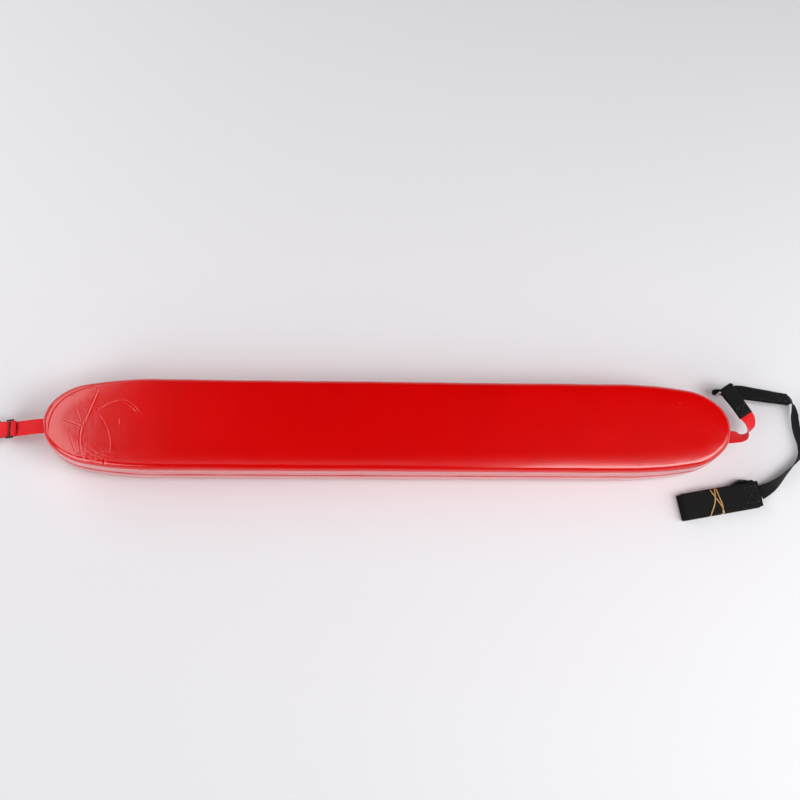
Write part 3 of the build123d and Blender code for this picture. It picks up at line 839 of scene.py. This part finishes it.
def add_ring_strap():
    """Black webbing folded round the ring's bar, both ends sewn over the red webbing."""
    local = [(2.5, -1.7), (14, -1.75), (30, -1.8), (45, -4.0), (54, -4.3), (62.7, -4.6), (62.7, 2.7),
             (54, 2.5), (45, 2.4), (30, 1.9), (14, 1.75), (2.5, 1.7)]
    points = [tuple(RING_START + RING_AHEAD * a + UP * z) for a, z in local]
    track = Track(smooth_line(points), across=RING_ACROSS)
    obj = ribbons("ring_strap_fold", [(track, WEB, PLY, 0.1)], BLACK_WEB)
    finish_piece(obj, "tube", "black_webbing", "ring_strap")
    face = Track([RING_START + RING_AHEAD * a for a in (0.0, 12.0, 24.0, 36.0)], across=RING_ACROSS)
    places = []
    for side in (1, -1):
        places += sewn_rows(face, box_rows(13, 0, 8, 9), side * (1.75 + PLY / 2 + 0.1))
    sewn = stitch_mesh("ring_strap_stitches", places, BLACK_THREAD)
    finish_piece(sewn, "tube", "black_thread", "ring_stitching")


DOUBLE_ROUTE = [(598.5, 77.4, 23.3), (610, 78.2, 23.3), (626, 75.6, 23), (649, 72.8, 21.5), (672, 69.6, 20.5),
                (693.5, 67.0, 19.5)]
DOUBLE_ROLL = [0, -12, -18, -20, -26, -26]


def add_tow_loop():
    """The tow line's end: an eye bunched through the ring, then two plies sewn together."""
    local = [(28, 22.4), (18, 19.4), (6, 18.4), (-4, 18.3), (-11, 18.4), (-15.4, 20.0), (-15.4, 29.2),
             (-11, 30.7), (-4, 30.9), (6, 30.8), (18, 29.6), (28, 24.2)]
    eye = Track(smooth_line([(RING_BAR[0] + a, RING_BAR[1], z) for a, z in local]), across=(0.0, -1.0, 0.0))
    ends = np.abs(eye.along / eye.length - 0.5) * 2
    width = 8.0 + 12.0 * np.clip((ends - 0.55) / 0.45, 0, 1) ** 2
    both = Track(smooth_line(DOUBLE_ROUTE, 14), DOUBLE_ROLL)
    parts = [(eye, width, PLY, 0.9 * (1 - ends)), (both.shifted(0.5, 0.88), WEB, PLY, 0.25),
             (both.shifted(-0.4, -0.88), WEB, PLY, -0.1)]
    obj = ribbons("tow_line_eye", parts, BLACK_WEB)
    finish_piece(obj, "tube", "black_webbing", "tow_loop")
    places = []
    for side in (1, -1):
        places += sewn_rows(both, box_rows(both.length - 12, 0, 7, 8.5), side * (0.88 + PLY / 2 + 0.15))
    rows = [((6, side), (both.length - 22, side)) for side in (-9.5, 9.5)]
    places += sewn_rows(both, rows, 1.85)
    sewn = stitch_mesh("tow_line_stitches", places, BLACK_THREAD)
    finish_piece(sewn, "tube", "black_thread", "tow_stitching")


add_red_curl()
add_ring_strap()
add_tow_loop()

# ---------------------------------------------------------------- folded shoulder strap
HANK_CENTRE = np.array([562.5, -110.5, 0.0])
HANK_ANGLE = radians(10.0)
HANK_AHEAD = np.array([cos(HANK_ANGLE), sin(HANK_ANGLE), 0.0])
HANK_ACROSS = np.array([-sin(HANK_ANGLE), cos(HANK_ANGLE), 0.0])
STRAP_WIDTH, STRAP_PLY = 44.0, 1.9
# Height, left end and right end of each ply, from the floor up.
PLIES = [(2.4, -72.0, 66.5), (4.5, -70.5, 68.0), (6.6, -72.5, 67.0), (8.7, -71.0, 67.5),
         (13.2, -67.5, 68.0), (15.4, -68.0, 66.5), (17.6, -67.0, 67.5), (19.9, -68.2, 68.3)]


def in_hank(along, across, z):
    return HANK_CENTRE + HANK_AHEAD * along + HANK_ACROSS * across + UP * z


def add_shoulder_strap():
    """One wide strap folded back and forth, its plies a little out of line with each other."""
    rng = np.random.default_rng(31)
    points = []
    for k, (z, left, right) in enumerate(PLIES):
        ends = (left, right) if k % 2 == 0 else (right, left)
        shift = rng.uniform(-0.7, 0.7)
        points.append(in_hank(ends[0], shift, z))
        for t in (0.08, 0.3, 0.5, 0.7, 0.92):
            lift = rng.uniform(-0.12, 0.12) - (0.35 if k > 5 and 0.25 < t < 0.6 else 0.0)
            points.append(in_hank(ends[0] + (ends[1] - ends[0]) * t, shift, z + lift))
        points.append(in_hank(ends[1], shift, z))
    track = Track(smooth_line([tuple(p) for p in points], 8), across=HANK_ACROSS)
    obj = ribbons("shoulder_strap_folds", [(track, STRAP_WIDTH, STRAP_PLY, 0.0)], BLACK_STRAP)
    finish_piece(obj, "tube", "black_strap", "shoulder_strap")
    top = Track([in_hank(a, 0.0, PLIES[-1][0]) for a in (30.0, 45.0, 60.0, 72.0)], across=HANK_ACROSS)
    places = sewn_rows(top, box_rows(22, 0, 11, 14), STRAP_PLY / 2 + 0.12)
    sewn = stitch_mesh("shoulder_strap_stitches", places, BLACK_THREAD)
    finish_piece(sewn, "tube", "black_thread", "shoulder_stitching")


def add_tow_folds():
    """Spare tow line: flat between the strap's plies, and a fold of it that bulges out at the far side."""
    bulge = [(20, 19.0), (26, 23.2), (33, 25.6), (40, 28.6), (47, 28.8), (51, 25.4), (55, 25.0), (59, 26.0),
             (63, 22.5), (66, 18.0)]
    standing = Track(smooth_line([tuple(in_hank(a, c, 12.0)) for a, c in bulge]), (-84.0, -78.0, -84.0))
    inner = [(24, 19.5), (31, 22.8), (38, 24.8), (45, 25.2), (50, 22.6), (56, 22.8), (61, 20.0)]
    second = Track(smooth_line([tuple(in_hank(a, c, 11.0)) for a, c in inner]), (-92.0, -96.0, -92.0))
    flat = [(634.0, -96.0, 11.0), (626.0, -98.0, 11.0), (604.0, -102.5, 11.0), (544.0, -113.5, 11.0),
            (504.0, -120.8, 11.0)]
    inside = Track(smooth_line(flat), (-16.0, -4.0, 0.0, 0.0))
    parts = [(standing, 14.5, PLY, 0.5), (second, 13.0, PLY, -0.4), (inside, WEB, PLY, 0.1)]
    obj = ribbons("tow_line_spare", parts, BLACK_WEB)
    finish_piece(obj, "tube", "black_webbing", "tow_line_folds")


# Each turn of the band: where it crosses the top's far edge, the top's middle and near edge, and the bottom.
BAND_TURNS = [
    [(-18.0, 22.6), (-11.5, 6.0), (-4.3, -8.5), (-2.6, -22.6), (-12.0, 0.0)],
    [(-7.1, 22.6), (-4.8, 4.0), (-2.2, -10.0), (-4.6, -22.6), (-4.0, 0.0)],
    [(-10.0, 22.6), (-11.6, 8.0), (-15.6, -5.3), (-26.0, -22.6), (-16.0, 0.0)],
]


def add_band():
    """One rubber band wound three times round the strap."""
    top, low = PLIES[-1][0] + STRAP_PLY / 2 + 0.45, 0.75
    sides = 8
    verts, faces = [], []
    for k, (far, upper, middle, near, under) in enumerate(BAND_TURNS):
        lift = top + 0.55 * k
        corners = [(*far, lift - 1.2), (far[0], far[1] - 1.8, lift), (*upper, lift + 0.05),
                   (*middle, lift + 0.05),
                   (near[0], near[1] + 1.8, lift), (*near, lift - 1.2), (near[0], near[1] - 0.5, 12.0),
                   (near[0], near[1] + 0.2, 2.4), (near[0], near[1] + 2.0, low), (*under, low),
                   (far[0], far[1] - 2.0, low), (far[0], far[1] - 0.2, 2.4), (far[0], far[1] + 0.5, 12.0)]
        closed = corners + corners[:2]
        line = smooth_line([tuple(in_hank(*p)) for p in closed], 6)
        ahead = unit(np.roll(line, -1, axis=0) - np.roll(line, 1, axis=0))
        keep = slice(3, -6)
        line, ahead = line[keep], ahead[keep]
        centre = in_hank(-9.0, 0.0, 11.0)
        out = unit((line - centre) - ahead * np.sum((line - centre) * ahead, axis=1, keepdims=True))
        above = line[:, 2:3] - 11.0
        out = unit(out * 0.25 + np.where(np.abs(above) > 8.5, UP * np.sign(above), out))
        out = unit(out - ahead * np.sum(out * ahead, axis=1, keepdims=True))
        wide = np.cross(ahead, out)
        base = len(verts)
        for point, w, o in zip(line, wide, out):
            for j in range(sides):
                turn = 2 * pi * (j + 0.5) / sides
                verts.append(point + w * 0.95 * cos(turn) + o * 0.42 * sin(turn))
        faces += [tuple(base + i for i in f) for f in tube_faces(len(line), sides, closed=True)]
    obj = make_object("rubber_band_turns", np.array(verts) * MM, faces, RUBBER)
    finish_piece(obj, "tube", "tan_rubber", "rubber_band")


add_shoulder_strap()
add_tow_folds()
add_band()


# ---------------------------------------------------------------- floor and light
def add_floor():
    n = Nodes("floor")
    n.set(Specular_IOR_Level=0.25)
    tone = n.noise(1.2, 2.0)
    tint = n.ramp(tone, [(0.2, (0.815, 0.805, 0.835)), (0.8, (0.835, 0.825, 0.855))])
    n.join(tint, n.shader.inputs["Base Color"])
    n.join(n.range(n.noise(40.0, 3.0), 0.6, 0.75), n.shader.inputs["Roughness"])
    size = 9.0
    verts = [(-size, -size, 0), (size, -size, 0), (size, size, 0), (-size, size, 0)]
    floor = make_object("floor", verts, [(0, 1, 2, 3)], n.material, smooth=False)
    floor.location.z = -0.0002


def add_light(name, place, target, size, power):
    data = bpy.data.lights.new(name, "AREA")
    data.shape = "RECTANGLE"
    data.size, data.size_y = size
    data.energy = power
    light = bpy.data.objects.new(name, data)
    light.location = place
    light.rotation_euler = (Vector(target) - Vector(place)).to_track_quat("-Z", "Y").to_euler()
    bpy.context.collection.objects.link(light)


def add_world():
    """A dim studio: dark overhead, paler towards the horizon."""
    world = bpy.data.worlds.new("studio")
    bpy.context.scene.world = world
    world.use_nodes = True
    tree = world.node_tree
    place = tree.nodes.new("ShaderNodeTexCoord")
    split = tree.nodes.new("ShaderNodeSeparateXYZ")
    ramp = tree.nodes.new("ShaderNodeValToRGB")
    tree.links.new(place.outputs["Generated"], split.inputs[0])
    tree.links.new(split.outputs["Z"], ramp.inputs["Fac"])
    tree.links.new(ramp.outputs["Color"], tree.nodes["Background"].inputs["Color"])
    stops = ramp.color_ramp.elements
    stops[0].position, stops[0].color = 0.05, (0.62, 0.61, 0.64, 1.0)
    stops[1].position, stops[1].color = 0.62, (0.003, 0.003, 0.003, 1.0)
    middle = stops.new(0.3)
    middle.color = (0.30, 0.30, 0.31, 1.0)


add_floor()
add_world()
add_light("softbox_left", (-2.07, 0.50, 2.0), (-2.07, 0.50, 0.0), (2.4, 1.5), 29.0)
add_light("softbox_right", (1.35, -0.58, 2.0), (1.35, -0.58, 0.0), (1.5, 1.2), 30.0)
add_light("edge_strip", (-0.1, 0.0, 2.4), (-0.1, 0.0, 0.0), (1.5, 0.05), 0.5)
add_light("key_right", (3.0, -0.9, 2.5), (0.0, -0.1, 0.0), (2.4, 2.4), 43.0)
add_light("front_fill", (-2.4, -2.6, 2.4), (-0.3, -0.1, 0.0), (2.4, 2.4), 62.0)
add_light("back_fill", (-2.2, 2.8, 2.4), (-0.3, 0.1, 0.0), (2.0, 2.0), 27.0)

bpy.context.scene.view_settings.view_transform = "Standard"
